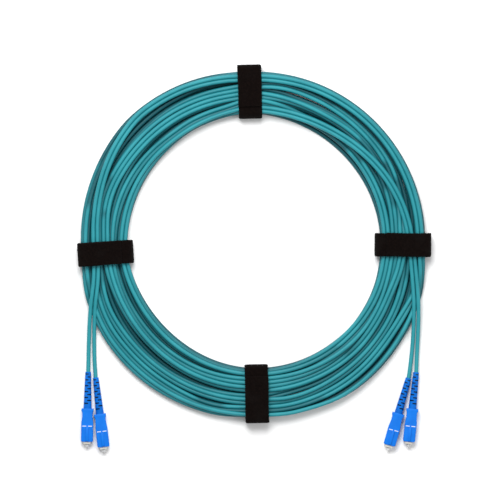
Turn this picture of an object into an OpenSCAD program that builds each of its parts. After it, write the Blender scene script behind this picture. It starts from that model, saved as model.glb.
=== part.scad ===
/* [Coil] */
// Outside diameter of the wound coil
coil_outer_d = 259; // [250:1:320]
// Diameter of the open eye of the coil
coil_inner_d = 192; // [150:1:200]
// Height of the stack of turns
coil_h = 9.2; // [7:0.1:12]
// Corner cut of the coil's section
coil_corner = 2.6; // [1:0.1:3]

/* [Cord] */
// Outside diameter of each round jacket
jacket_d = 3.0; // [2.4:0.1:3.2]
// Diameter of the tight buffer around the glass
buffer_d = 0.9; // [0.7:0.1:1.0]
// Diameter of the bare glass fibre
glass_d = 0.125; // [0.1:0.005:0.15]
// Thickness of the aramid yarn where it is crimped
yarn_t = 0.25; // [0.2:0.01:0.35]

/* [Straps] */
// Width of the hook-and-loop strap
strap_w = 17.5; // [12:0.5:22]
// Thickness of one layer of strap
strap_t = 1.4; // [1:0.1:2]
// Gap between the strap and the coil it holds
strap_gap = 0.3; // [0.2:0.1:0.6]
// Distance that the loose tail stops short of the loop's inner end
tail_short = 9; // [4:1:16]

/* [Ferrule] */
// Diameter of the ferrule
ferrule_d = 2.499; // [2.4:0.001:3.1]
// Length of the ferrule
ferrule_l = 10.4; // [9.4:0.1:12.6]
// Chamfer at the ferrule's tip
ferrule_chamfer = 0.4; // [0.2:0.05:0.5]
// Bore of the ferrule
ferrule_bore_d = 0.127; // [0.126:0.001:0.2]
// Distance that the ferrule stands out of the plug frame
ferrule_out = 2.3; // [1.8:0.1:2.8]
// Free length of the ferrule that an adapter's sleeve takes
ferrule_free_l = 6.4; // [5:0.1:7]
// Step down from the free length to the seat in the flange
ferrule_step = 0.2; // [0.18:0.01:0.4]
// Floating travel of the ferrule against its spring
float_travel = 1.5; // [0.5:0.1:1.8]

/* [Ferrule flange] */
// Diameter of the flange's collar
collar_d = 4.3; // [4:0.05:4.4]
// Length of the collar
collar_l = 3.0; // [2.4:0.1:3.4]
// Diameter of the hollow stem behind the collar
stem_d = 2.9; // [2.6:0.05:3]
// Length of the stem
stem_l = 3.8; // [3:0.1:4]

/* [Plug frame] */
// Width of the plug frame
frame_w = 6.8; // [6:0.1:8.2]
// Height of the plug frame
frame_h = 5.4; // [5.2:0.1:6.5]
// Length of the plug frame
frame_l = 17.2; // [16.5:0.1:20.6]
// Bore in front that takes the adapter's sleeve holder
front_bore_d = 4.5; // [4.3:0.1:4.7]
// Bore behind that holds the flange and the spring
rear_bore_d = 4.6; // [4.5:0.05:4.8]
// Thickness of the web that stops the flange
web_t = 0.6; // [0.5:0.1:1]

/* [Grip] */
// Length of the push-pull grip
grip_l = 25; // [24:0.5:30]
// Distance that the plug frame stands out of the grip
frame_out = 1.6; // [1:0.1:2]
// Side wall of the grip
side_wall = 0.95; // [0.8:0.05:1.4]
// Top and bottom wall of the grip
top_wall = 0.85; // [0.7:0.05:1.4]
// Clearance between the grip and the plug frame on each side
slide_gap = 0.15; // [0.1:0.01:0.2]
// Travel of the grip when it is pulled to release the plug
grip_travel = 2.0; // [1:0.1:2.4]
// Width of the key on top of the grip
key_w = 2.0; // [1.6:0.1:2.6]
// Height of the key
key_h = 0.9; // [0.5:0.1:1.2]
// Height of the catch bosses and their side windows
boss_h = 3.0; // [2:0.1:3.6]

/* [Boot] */
// Length of the boot behind the grip
boot_l = 27.5; // [22:0.5:32]
// Diameter of the boot at the grip
boot_front_d = 6.0; // [5.4:0.1:6.2]
// Diameter of the boot at its thin end
boot_rear_d = 4.3; // [3.9:0.1:5]
// Distance from one row of slots to the next
slot_pitch = 2.2; // [2:0.05:3]
// Width of a slot along the boot
slot_l = 0.95; // [0.6:0.05:1.2]

/* [Spring] */
// Outside diameter of the spring
spring_d = 4.2; // [4:0.05:4.3]
// Diameter of the spring wire
wire_d = 0.45; // [0.35:0.01:0.55]
// Number of turns in the spring
spring_turns = 5.5; // [4:0.5:7]

/* [Hidden] */
$fn = 64;
// Small clearance of parts that slide or drop into one another
fit_gap = 0.05;
// Length by which a cutting body passes the faces it cuts
over = 1;
// Each end: name, place of the ferrule's tip, turn about the vertical
ENDS = [
    ["left_a", [-125.2, -152.5], -1],
    ["left_b", [-112.2, -156.4], 6.5],
    ["right_b", [101, -155], -16],
    ["right_a", [116.4, -152.5], -6]
];
// Each leg of the cord, from the coil to just before its boot
ROUTES = [
    [[-119, -24, 8.6], [-121, -36, 8.2], [-122.4, -48, 7], [-123.2, -60, 5.2], [-123.7, -73, 3.6],
        [-124, -85, 3.1]],
    [[-115.8, -24, 8.6], [-117.8, -36, 8.2], [-119, -48, 7], [-119.6, -61, 5.2], [-119.7, -75, 3.6],
        [-119.4, -88, 3.1]],
    [[119.2, -24, 8.6], [120.3, -36, 8.2], [120.6, -48, 7], [120.4, -61, 5.2], [119.6, -75, 3.6],
        [118.3, -88, 3.1]],
    [[122.4, -24, 8.6], [123.6, -36, 8.2], [124, -48, 7], [123.9, -60, 5.2], [123.4, -73, 3.6],
        [122.8, -85, 3.1]]
];
// Each strap: name, angle round the coil, overhang inside the coil, overhang outside it
STRAPS = [
    ["left", 183.5, 5.7, 2.6],
    ["top", 91.3, 1.8, 5.1],
    ["right", -0.4, 5, 3.8],
    ["bottom", -88.8, 5.6, 4.8]
];
END_PARTS = ["leg", "grip", "plug_frame", "ferrule", "flange", "fibre", "spring", "rear_body", "yarn",
    "crimp_sleeve", "boot"];

// Heights of the layers, from the floor up
coil_z = strap_t + strap_gap;
coil_top = coil_z + coil_h;
loop_top = coil_top + strap_gap + strap_t;

// Outline of the grip: its cut nose, its waist and its rim, the last two counted from its rear end
nose_cut_in = 0.75;
nose_cut_l = 1.2;
waist_in = 0.6;
waist_front = 12;
waist_mid = 6.5;
waist_back = 2.8;
rim_l = 1.8;
rim_cut = 0.4;
// Room between the boot and the grip, and the place of the key along the grip
boot_play = 0.25;
key_from = 0.6;
key_share = 0.45;

// Cross section of the grip and the height of a plug's axis
grip_w = frame_w + 2 * (slide_gap + side_wall);
grip_h = frame_h + 2 * (slide_gap + top_wall);
axis_z = grip_h / 2;

// Places along a plug, counted back from the ferrule's tip
frame_y = ferrule_out;
frame_end = frame_y + frame_l;
collar_y = frame_y + 5.3;
collar_end = collar_y + collar_l;
stem_end = collar_end + stem_l;
nose_l = 3;
nose_y = frame_end - nose_l;
rear_flange_l = 1.4;
barrel_y = frame_end + rear_flange_l;
barrel_l = 5.1;
barrel_end = barrel_y + barrel_l;
jacket_y = barrel_end + 0.4;
crimp_grip_l = 3.6;
crimp_end = jacket_y + crimp_grip_l;
grip_y = frame_y + frame_out;
grip_end = grip_y + grip_l;
boot_y = barrel_y + 2.2;
boot_end = grip_end + boot_l;

// Rear body
barrel_d = 3.5;
rear_bore = 1.8;
nose_d = rear_bore_d - 2 * fit_gap;
snap_l = 0.8;
snap_y = nose_y + 1.1;
snap_h = 0.08;
groove_l = 0.5;
groove_t = 0.15;

// Crimp sleeve
crimp_t = 0.35;
crimp_in_d = barrel_d + 2 * yarn_t;
crimp_out_d = crimp_in_d + 2 * crimp_t;
crimp_neck = 0.8;

// Narrower tip of the plug frame and the cut of its edges
tip_in = 0.6;
tip_l = 1.4;
tip_cut = 0.3;

// Catch bosses on the frame and their windows in the grip
boss_y = frame_y + 9.5;
boss_l = 3.5;
boss_t = 0.75;
window_gap = 0.2;

// Slots of the boot
slot_start = grip_end + 3.4;
slot_rows = floor((boot_end - 1.6 - slot_start) / slot_pitch);
slot_rib = 0.35;
slot_past = 0.3;
boot_wall_gap = 0.1;

// Turns +Z to +Y, so that a turned shape lies along the plug
module along() {
    rotate([-90, 0, 0])
        children();
}

// A turned solid along the plug from a list of [place, radius]
module turned(points) {
    along()
        rotate_extrude()
            polygon([for (p = points) [p[1], p[0]]]);
}

// A round bar or bore along the plug
module bar(y0, y1, d) {
    translate([0, y0, 0])
        along()
            cylinder(h = y1 - y0, d = d);
}

// A block centred on the plug's axis
module block(w, y0, y1, h) {
    translate([-w / 2, y0, -h / 2])
        cube([w, y1 - y0, h]);
}

// A block whose outline from above is given as half widths, [place, half width]
module outlined(points, h) {
    side = [for (p = points) [p[1], p[0]]];
    back = [for (i = [len(points) - 1 : -1 : 0]) [-points[i][1], points[i][0]]];
    translate([0, 0, -h / 2])
        linear_extrude(height = h)
            polygon(concat(side, back));
}

// The same for the outline from the side, as half heights
module side_outlined(points, w) {
    rotate([0, 90, 0])
        outlined(points, w);
}

// Puts one plug, made with its tip at the origin, in its place
module at_end(e) {
    translate([e[1][0], e[1][1], axis_z])
        rotate([0, 0, e[2]])
            children();
}

// A point on a plug's axis, a distance back from its tip
function on_axis(e, y) = [e[1][0] - y * sin(e[2]), e[1][1] + y * cos(e[2]), axis_z];

// Smooth curve through the points of a route
function between(a, b, c, d, t) =
    0.5 * (2 * b + (c - a) * t + (2 * a - 5 * b + 4 * c - d) * t * t
        + (3 * b - a - 3 * c + d) * t * t * t);
function smooth(p, steps) = concat(
    [for (i = [0 : len(p) - 2]) for (k = [0 : steps - 1])
        between(p[max(i - 1, 0)], p[i], p[i + 1], p[min(i + 2, len(p) - 1)], k / steps)],
    [p[len(p) - 1]]
);

// Directions of a path and the corners of a ring on it
function unit(v) = v / norm(v);
function heading(p, i) = unit(p[min(i + 1, len(p) - 1)] - p[max(i - 1, 0)]);
function ring(c, t, r, sides) =
    let (u = unit(cross(t, [0, 0, 1])), v = cross(u, t))
    [for (k = [0 : sides - 1]) c + r * (cos(360 * k / sides) * u + sin(360 * k / sides) * v)];
function band(i, sides) = [for (k = [0 : sides - 1])
    [i * sides + k, i * sides + (k + 1) % sides, (i + 1) * sides + (k + 1) % sides,
        (i + 1) * sides + k]];

// A closed tube swept along a path
module tube(path, d, sides) {
    last = len(path) - 1;
    points = [for (i = [0 : last]) each ring(path[i], heading(path, i), d / 2, sides)];
    faces = concat(
        [[for (k = [sides - 1 : -1 : 0]) k]],
        [for (i = [0 : last - 1]) each band(i, sides)],
        [[for (k = [0 : sides - 1]) last * sides + k]]
    );
    polyhedron(points = points, faces = faces, convexity = 4);
}

// The wound turns, as one ring
module coil() {
    r0 = coil_inner_d / 2;
    r1 = coil_outer_d / 2;
    c = coil_corner;
    color([0.16, 0.62, 0.65])
        rotate_extrude($fn = 128)
            polygon([[r0 + c, coil_z], [r1 - c, coil_z], [r1, coil_z + c], [r1, coil_top - c],
                [r1 - c, coil_top], [r0 + c, coil_top], [r0, coil_top - c], [r0, coil_z + c]]);
}

// One loop of strap round the coil, square to the cord
module strap(s) {
    x0 = coil_inner_d / 2 - s[2];
    x1 = coil_outer_d / 2 + s[3];
    color([0.09, 0.08, 0.08])
        rotate([0, 0, s[1]])
            translate([0, strap_w / 2, 0])
                rotate([90, 0, 0])
                    linear_extrude(height = strap_w)
                        difference() {
                            strap_outline(x0, x1, 0, loop_top, 2 * strap_t);
                            strap_outline(x0 + strap_t, x1 - strap_t, strap_t, loop_top - strap_t,
                                strap_t);
                        }
}

// A rectangle with its corners cut
module strap_outline(x0, x1, z0, z1, c) {
    polygon([[x0 + c, z0], [x1 - c, z0], [x1, z0 + c], [x1, z1 - c], [x1 - c, z1], [x0 + c, z1],
        [x0, z1 - c], [x0, z0 + c]]);
}

// The strap's free tail, lying on top of its loop and peeling up from the outer side
module strap_tail(s) {
    x0 = coil_inner_d / 2 - s[2] + tail_short;
    x1 = coil_outer_d / 2 + s[3] - 2 * strap_t;
    color([0.12, 0.11, 0.11])
        rotate([0, 0, s[1]])
            translate([x0, -strap_w / 2, loop_top + fit_gap])
                cube([x1 - x0, strap_w, strap_t]);
}

// One leg of the cord, from the coil into its crimp sleeve
module leg(i) {
    e = ENDS[i];
    inside = [for (k = [0 : 4]) on_axis(e, boot_end - (boot_end - jacket_y) * k / 4)];
    color([0.18, 0.65, 0.68])
        tube(concat(smooth(ROUTES[i], 2), smooth(inside, 1)), jacket_d, 8);
}

// The outer push-pull grip, with its key and side windows
module grip() {
    half = grip_w / 2;
    tall = grip_h / 2;
    cavity_end = barrel_y + slide_gap * 2;
    key_end = grip_y + grip_l * key_share;
    color([0.10, 0.50, 0.95])
        difference() {
            union() {
                intersection() {
                    outlined([[grip_y, half - nose_cut_in], [grip_y + nose_cut_l, half],
                        [grip_end - waist_front, half], [grip_end - waist_mid, half - waist_in],
                        [grip_end - waist_back, half - waist_in], [grip_end - rim_l, half],
                        [grip_end, half]], grip_h);
                    side_outlined([[grip_y, tall - nose_cut_in], [grip_y + nose_cut_l, tall],
                        [grip_end - rim_cut, tall], [grip_end, tall - rim_cut]], grip_w);
                }
                translate([-key_w / 2, grip_y + key_from, tall - fit_gap])
                    cube([key_w, key_end - grip_y, key_h + fit_gap]);
            }
            block(frame_w + 2 * slide_gap, grip_y - over, cavity_end, frame_h + 2 * slide_gap);
            bar(cavity_end - fit_gap, grip_end + over, boot_front_d + 2 * boot_play);
            block(grip_w + over, boss_y - window_gap - grip_travel, boss_y + boss_l + window_gap,
                boss_h + 2 * window_gap);
        }
}

// The plug frame, with the catch bosses that stop the grip
module plug_frame() {
    half = frame_w / 2;
    tall = frame_h / 2;
    color([0.85, 0.84, 0.80])
        difference() {
            union() {
                intersection() {
                    outlined([[frame_y, half - tip_in - tip_cut], [frame_y + tip_cut, half - tip_in],
                        [frame_y + tip_l, half - tip_in], [frame_y + tip_l + tip_cut, half],
                        [frame_end, half]], frame_h);
                    side_outlined([[frame_y, tall - tip_cut], [frame_y + tip_cut, tall],
                        [frame_end, tall]], frame_w);
                }
                outlined([[boss_y, half], [boss_y + 0.9, half + boss_t],
                    [boss_y + boss_l, half + boss_t]], boss_h);
            }
            bar(frame_y - over, collar_y - fit_gap - web_t, front_bore_d);
            bar(frame_y, collar_end, ferrule_d + 0.5);
            bar(collar_y - fit_gap, frame_end + over, rear_bore_d);
            bar(snap_y - fit_gap, snap_y + snap_l + fit_gap, rear_bore_d + 2 * snap_h);
        }
}

// The ceramic ferrule, straight where a sleeve takes it and a step thinner behind
module ferrule() {
    r = ferrule_d / 2;
    seat = r - ferrule_step;
    bore = ferrule_bore_d / 2;
    free_end = ferrule_chamfer + ferrule_free_l;
    color([0.95, 0.94, 0.90])
        turned([[0, bore], [0, r - 0.5 * ferrule_chamfer], [ferrule_chamfer, r], [free_end, r],
            [free_end + 0.1, seat], [ferrule_l, seat], [ferrule_l, buffer_d / 4],
            [ferrule_l - 0.6, bore]]);
}

// The metal flange that holds the ferrule, with two tuning notches
module flange() {
    seat = ferrule_d / 2 - ferrule_step;
    hole = buffer_d / 2 + fit_gap;
    notch = 0.8;
    color([0.72, 0.70, 0.66])
        difference() {
            turned([[collar_y, seat], [collar_y, collar_d / 2 - 0.3], [collar_y + 0.3, collar_d / 2],
                [collar_end, collar_d / 2], [collar_end, stem_d / 2], [stem_end, stem_d / 2],
                [stem_end, hole], [ferrule_l, hole], [ferrule_l, seat]]);
            for (side = [-1, 1])
                translate([side * collar_d / 2 - notch / 2, collar_y - over, -notch / 2])
                    cube([notch, over + collar_l * 0.6, notch]);
        }
}

// The glass fibre in the ferrule and its buffered length behind
module fibre() {
    glass = glass_d / 2;
    buffer = buffer_d / 2;
    end = jacket_y - float_travel - 0.3;
    color([0.9, 0.95, 0.97])
        turned([[0, 0], [0, glass], [ferrule_l, glass], [ferrule_l + 0.3, buffer], [end, buffer],
            [end, 0]]);
}

// The spring that pushes the flange forward
module spring() {
    r = (spring_d - wire_d) / 2;
    y0 = collar_end + wire_d / 2 + fit_gap;
    y1 = nose_y - wire_d / 2 - fit_gap;
    steps = spring_turns * 14;
    path = [for (k = [0 : steps]) [r * cos(360 * k / 14), y0 + (y1 - y0) * k / steps,
        r * sin(360 * k / 14)]];
    color([0.7, 0.7, 0.72])
        spring_wire(path, y0, y1, steps);
}

// The spring's wire, its rings square to the coil's own axis
module spring_wire(path, y0, y1, steps) {
    sides = 6;
    r = wire_d / 2;
    points = [for (k = [0 : steps])
        let (out = [cos(360 * k / 14), 0, sin(360 * k / 14)])
        for (j = [0 : sides - 1])
            path[k] + r * (cos(360 * j / sides) * out + sin(360 * j / sides) * [0, 1, 0])];
    faces = concat(
        [[for (j = [sides - 1 : -1 : 0]) j]],
        [for (k = [0 : steps - 1]) each band(k, sides)],
        [[for (j = [0 : sides - 1]) steps * sides + j]]
    );
    polyhedron(points = points, faces = faces, convexity = 10);
}

// The rear body: a nose that snaps into the frame, a flange and the crimp barrel
module rear_body() {
    nose = nose_d / 2;
    barrel = barrel_d / 2;
    color([0.80, 0.78, 0.72])
        difference() {
            union() {
                turned([[nose_y, 0], [nose_y, nose], [snap_y, nose], [snap_y, nose + snap_h],
                    [snap_y + snap_l, nose + snap_h], [snap_y + snap_l, nose], [frame_end, nose],
                    [frame_end + rear_flange_l / 2, nose], [frame_end + rear_flange_l / 2, 0]]);
                block(frame_w - 0.4, frame_end, barrel_y, frame_h - 0.2);
                bar(barrel_y - fit_gap, barrel_end, barrel_d);
            }
            bar(nose_y - over, barrel_end + over, rear_bore);
            for (k = [0 : 3])
                translate([0, barrel_y + 0.8 + 2 * groove_l * k, 0])
                    turned([[0, barrel - groove_t], [0, barrel + over], [groove_l, barrel + over],
                        [groove_l, barrel - groove_t]]);
        }
}

// The aramid yarn, folded back over the barrel and clamped under the crimp sleeve
module yarn() {
    barrel = barrel_d / 2;
    color([0.93, 0.80, 0.35])
        turned([[barrel_y + 0.3, barrel], [barrel_y + 0.3, barrel + yarn_t],
            [barrel_end, barrel + yarn_t], [jacket_y, jacket_d / 2], [jacket_y, buffer_d],
            [barrel_end, buffer_d], [barrel_end, barrel]]);
}

// The stepped crimp sleeve: over the yarn in front, over the jacket behind
module crimp_sleeve() {
    color([0.75, 0.73, 0.70])
        turned([[barrel_y + 0.2, crimp_in_d / 2], [barrel_y + 0.2, crimp_out_d / 2],
            [barrel_end, crimp_out_d / 2], [barrel_end + crimp_neck, jacket_d / 2 + crimp_t],
            [crimp_end, jacket_d / 2 + crimp_t], [crimp_end, jacket_d / 2], [jacket_y, jacket_d / 2],
            [barrel_end, crimp_in_d / 2]]);
}

// The tapered boot, with slots staggered left and right so that it bends; on the left-hand
// plugs the first slots are on the other side
module boot(swapped) {
    front = boot_front_d / 2;
    thin = boot_rear_d / 2;
    bore = jacket_d / 2 + boot_wall_gap;
    color([0.02, 0.36, 0.82])
        difference() {
            turned([[boot_y, crimp_out_d / 2], [boot_y, front - 0.2], [boot_y + 0.2, front],
                [grip_end + 1, front], [boot_end - 0.3, thin], [boot_end, thin - 0.2],
                [boot_end, bore], [crimp_end + 0.8, bore], [crimp_end + 0.2, crimp_out_d / 2]]);
            for (k = [0 : slot_rows])
                mirror([(k + swapped) % 2, 0, 0])
                    boot_slots(slot_start + k * slot_pitch, front + over);
        }
}

// One row of slots: an upper and a lower quarter on opposite sides
module boot_slots(y, reach) {
    translate([-slot_past, y, slot_rib])
        cube([reach + slot_past, slot_l, reach]);
    translate([-reach, y, -slot_rib - reach])
        cube([reach + slot_past, slot_l, reach]);
}

coil();
for (s = STRAPS) {
    strap(s);
    strap_tail(s);
}
for (i = [0 : len(ENDS) - 1]) {
    leg(i);
    at_end(ENDS[i]) grip();
    at_end(ENDS[i]) plug_frame();
    at_end(ENDS[i]) ferrule();
    at_end(ENDS[i]) flange();
    at_end(ENDS[i]) fibre();
    at_end(ENDS[i]) spring();
    at_end(ENDS[i]) rear_body();
    at_end(ENDS[i]) yarn();
    at_end(ENDS[i]) crimp_sleeve();
    at_end(ENDS[i]) boot(ENDS[i][1][0] < 0 ? 1 : 0);
}
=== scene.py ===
"""A duplex fiber optic patch cord: coil, straps and four push-pull plugs, all in metres."""
import math

import bmesh
import bpy
import numpy as np
from mathutils import Matrix, Vector


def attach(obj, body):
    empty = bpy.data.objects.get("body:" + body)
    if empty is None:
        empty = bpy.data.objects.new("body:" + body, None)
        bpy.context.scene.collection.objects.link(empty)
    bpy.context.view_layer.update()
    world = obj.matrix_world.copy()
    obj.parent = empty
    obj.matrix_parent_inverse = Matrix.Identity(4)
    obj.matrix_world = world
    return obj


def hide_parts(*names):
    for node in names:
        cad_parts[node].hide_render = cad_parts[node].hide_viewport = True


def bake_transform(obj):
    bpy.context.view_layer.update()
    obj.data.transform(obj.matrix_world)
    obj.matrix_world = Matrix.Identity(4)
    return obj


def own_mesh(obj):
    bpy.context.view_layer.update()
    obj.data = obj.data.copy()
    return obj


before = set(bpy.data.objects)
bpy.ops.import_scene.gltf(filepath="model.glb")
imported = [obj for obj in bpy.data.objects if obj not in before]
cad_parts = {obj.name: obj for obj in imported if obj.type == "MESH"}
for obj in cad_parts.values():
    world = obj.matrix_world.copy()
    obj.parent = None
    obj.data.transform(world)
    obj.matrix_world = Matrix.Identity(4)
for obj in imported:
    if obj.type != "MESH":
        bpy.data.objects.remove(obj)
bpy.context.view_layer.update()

MM = 0.001

# ---------------------------------------------------------------- sizes shared with the frame

# The jackets' diameter, the distance between the two of a pair, and the height of the plugs' axis
JACKET_D = 0.0030
PAIR_PITCH = 0.00306
AXIS_Z = 0.0037
# Each end: name, place of the ferrule's tip, turn about the vertical in degrees
ENDS = {
    "left_a": ((-0.1252, -0.1525), -1.0),
    "left_b": ((-0.1122, -0.1564), 6.5),
    "right_b": ((0.101, -0.155), -16.0),
    "right_a": ((0.1164, -0.1525), -6.0),
}
# Each leg of the cord, from the coil to just before its boot
ROUTES = {
    "left_a": [(-0.119, -0.024, 0.0086), (-0.121, -0.036, 0.0082), (-0.1224, -0.048, 0.007),
               (-0.1232, -0.060, 0.0052), (-0.1237, -0.073, 0.0036), (-0.124, -0.085, 0.0031)],
    "left_b": [(-0.1158, -0.024, 0.0086), (-0.1178, -0.036, 0.0082), (-0.119, -0.048, 0.007),
               (-0.1196, -0.061, 0.0052), (-0.1197, -0.075, 0.0036), (-0.1194, -0.088, 0.0031)],
    "right_b": [(0.1192, -0.024, 0.0086), (0.1203, -0.036, 0.0082), (0.1206, -0.048, 0.007),
                (0.1204, -0.061, 0.0052), (0.1196, -0.075, 0.0036), (0.1183, -0.088, 0.0031)],
    "right_a": [(0.1224, -0.024, 0.0086), (0.1236, -0.036, 0.0082), (0.124, -0.048, 0.007),
                (0.1239, -0.060, 0.0052), (0.1234, -0.073, 0.0036), (0.1228, -0.085, 0.0031)],
}
# Each strap: its angle round the coil, and the frame gives its size
STRAPS = {"left": 183.5, "top": 91.3, "right": -0.4, "bottom": -88.8}
STRAP_W = 0.0175
STRAP_T = 0.0014
# Places along a plug, counted back from the ferrule's tip, and how far the ferrule gives
BOOT_END = 0.0564
JACKET_END = 0.0264
SPRING_SEAT = 0.0165
FERRULE_TRAVEL = 0.0015


def on_axis(end, back):
    """A point on a plug's axis, a distance back from the ferrule's tip."""
    (x, y), turn = ENDS[end]
    a = math.radians(turn)
    return (x - back * math.sin(a), y + back * math.cos(a), AXIS_Z)


# ---------------------------------------------------------------- camera, floor and light

VIEW_CENTRE = (-0.0026, -0.0045)
SURROUND_STRENGTH = 0.53
# Each lamp: name, place, size across in metres, watts
LAMPS = (("lamp_over", (-0.15, 0.70, 1.15), 0.9, 21.5), ("lamp_side", (0.9, -0.2, 1.1), 0.6, 2.5))


def make_camera():
    """Straight above, far off with a long lens."""
    sensor, field, height = 0.036, 0.376, 8.0
    data = bpy.data.cameras.new("camera")
    data.sensor_width = sensor * 1000
    data.lens = 1000 * sensor * height / field
    data.clip_end = 20
    camera = bpy.data.objects.new("camera", data)
    bpy.context.scene.collection.objects.link(camera)
    camera.location = (*VIEW_CENTRE, height)
    bpy.context.scene.camera = camera


def make_stage():
    """A pale floor, one broad lamp overhead and a soft white surround."""
    bpy.ops.mesh.primitive_plane_add(size=6, location=(0, 0, 0))
    floor = bpy.context.object
    floor.name = "floor"
    paper = bpy.data.materials.new("floor_paper")
    paper.use_nodes = True
    shader = paper.node_tree.nodes["Principled BSDF"]
    shader.inputs["Base Color"].default_value = (0.92, 0.92, 0.92, 1)
    shader.inputs["Roughness"].default_value = 0.9
    shader.inputs["Specular IOR Level"].default_value = 0.1
    floor.data.materials.append(paper)
    world = bpy.data.worlds.new("surround")
    world.use_nodes = True
    surround = world.node_tree.nodes["Background"]
    surround.inputs["Color"].default_value = (1, 1, 1, 1)
    surround.inputs["Strength"].default_value = SURROUND_STRENGTH
    bpy.context.scene.world = world
    for name, place, size, watts in LAMPS:
        data = bpy.data.lights.new(name, "AREA")
        data.shape, data.size, data.energy = "DISK", size, watts
        lamp = bpy.data.objects.new(name, data)
        bpy.context.scene.collection.objects.link(lamp)
        lamp.location = place
        aim = Vector((0, 0, 0)) - Vector(place)
        lamp.rotation_euler = aim.to_track_quat("-Z", "Y").to_euler()
    bpy.context.scene.view_settings.view_transform = "Standard"


# ---------------------------------------------------------------- the wound cord

# A turn is laid in as many samples as there are stations round the ring
STATIONS = 144
STEP = 360 / STATIONS
TURNS = 15
FIRST_ANGLE, LAST_ANGLE = 183.5, -0.4
# The ring of turns: its inside and outside radius at angles round it
RING_ANGLES = (183.5, 160, 135, 115, 91.3, 65, 40, 20, -0.4, -20, -55, -75, -88.8, -110, -135, -160)
RING_INSIDE = (0.0948, 0.0941, 0.0950, 0.0968, 0.0980, 0.0951, 0.0940, 0.0934, 0.0945,
               0.0953, 0.0928, 0.0932, 0.0932, 0.0915, 0.0887, 0.0918)
RING_OUTSIDE = (0.1296, 0.1314, 0.1340, 0.1328, 0.1297, 0.1307, 0.1309, 0.1303, 0.1290,
                0.1325, 0.1340, 0.1316, 0.1300, 0.1324, 0.1333, 0.1325)
# Where the first and the last pair run on top of the rest: angle, radius, height
FIRST_RUN = ((183.5, 0.1173, 0.0092), (172, 0.1194, 0.0099), (158, 0.1228, 0.0106),
             (146, 0.1262, 0.0104), (134, 0.1298, 0.0092))
LAST_RUN = ((91.3, 0.1006, 0.0090), (82, 0.1009, 0.0094), (72, 0.1011, 0.0102), (62, 0.1018, 0.0108),
            (54, 0.1032, 0.0112), (45, 0.1056, 0.0113), (35, 0.1088, 0.0113), (25, 0.1126, 0.0110),
            (11, 0.1162, 0.0098), (-0.4, 0.1184, 0.0092))
# Partings, where the upper turns lie apart: angle, radius and half the gap along each
PARTINGS = (
    ((93, 0.1170, 0.0), (101, 0.1200, 0.0006), (112, 0.1240, 0.0010), (126, 0.1247, 0.0009),
     (138, 0.1290, 0.0)),
    ((97, 0.1058, 0.0), (110, 0.1056, 0.0007), (130, 0.1054, 0.0011), (146, 0.1086, 0.0012),
     (158, 0.1104, 0.0010), (172, 0.1120, 0.0)),
    ((35, 0.1152, 0.0), (46, 0.1136, 0.0007), (58, 0.1133, 0.0008), (74, 0.1162, 0.0008),
     (88, 0.1205, 0.0)),
    ((28, 0.1146, 0.0), (38, 0.1112, 0.0010), (48, 0.1084, 0.0014), (60, 0.1054, 0.0012),
     (74, 0.1050, 0.0)),
    ((-168, 0.1256, 0.0), (-156, 0.1254, 0.0007), (-140, 0.1236, 0.0011), (-125, 0.1218, 0.0011),
     (-114, 0.1236, 0.0008), (-98, 0.1240, 0.0)),
    ((-172, 0.1165, 0.0), (-156, 0.1164, 0.0010), (-140, 0.1144, 0.0012), (-123, 0.1142, 0.0011),
     (-102, 0.1146, 0.0)),
    ((-175, 0.1030, 0.0), (-156, 0.1005, 0.0006), (-130, 0.1004, 0.0006), (-112, 0.1004, 0.0)),
    ((-82, 0.1170, 0.0), (-70, 0.1160, 0.0008), (-50, 0.1140, 0.0009), (-33, 0.1127, 0.0007),
     (-12, 0.1110, 0.0)),
    ((-82, 0.1286, 0.0), (-66, 0.1290, 0.0007), (-50, 0.1284, 0.0009), (-36, 0.1268, 0.0008),
     (-20, 0.1270, 0.0)),
)
# The share of those gaps that is opened, and the height above which turns move apart
PARTING_SHARE = 0.7
UPPER_FROM = 0.0046
# The layer of each turn, and its place across the ring from 0 inside to 1 outside
TURN_PLACES = ((2.0, 0.95), (1.5, 1.0), (1, 0.87), (0, 1.0), (0, 0.75), (0, 0.5), (0, 0.25), (0, 0.0),
               (1, 0.12), (1, 0.37), (1, 0.62), (2, 0.62), (2, 0.42), (2, 0.20), (2, 0.02))
LAYER_H = 0.0028
# The underside of a strap's top, and how far the turns climb over a strap's lower side
STRAP_ROOF = 0.0111
STRAP_CLIMB = 0.011
MEAN_R = 0.112
# How far the turns wander across the ring: waves to a turn and share of the ring's width
WANDER = ((0.55, 0.06), (1.3, 0.06), (2.2, 0.05), (3.4, 0.03))
LOOSE = 0.6
SEED = 5
# Samples of leg laid with the coil at each end, and of the last run on top
LEG_SAMPLES = 6
LAST_RUN_SAMPLES = 36
ROUNDS, QUICK_ROUNDS = 320, 90
# In each round: how far a jacket sinks, is drawn to its place and is straightened, how hard a
# parting pushes it and how hard it is pushed out of another; and from when it only settles
SINK = 0.05 * MM
DRAW = 0.05
STRAIGHTEN = 0.5
PART = 0.15
PUSH_OUT = 0.6
SETTLE_FROM = 0.75
# The space left between jackets that touch
TOUCH_GAP = 0.012 * MM


def ease(x):
    """0 to 1 with soft ends."""
    x = np.clip(x, 0, 1)
    return x * x * (3 - 2 * x)


def round_ring(values, angle):
    """A value given at RING_ANGLES, eased between them round the ring."""
    start = RING_ANGLES[0]
    places = np.array([(start - a) % 360 for a in RING_ANGLES] + [360.0])
    values = np.array(values + values[:1])
    u = (start - angle) % 360
    k = np.clip(np.searchsorted(places, u, side="right") - 1, 0, len(places) - 2)
    share = ease((u - places[k]) / (places[k + 1] - places[k]))
    return values[k] + (values[k + 1] - values[k]) * share


def along_run(run, angle):
    """Radius and height of a run on top at an angle."""
    run = np.array(sorted(run))
    return np.interp(angle, run[:, 0], run[:, 1]), np.interp(angle, run[:, 0], run[:, 2])


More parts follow.
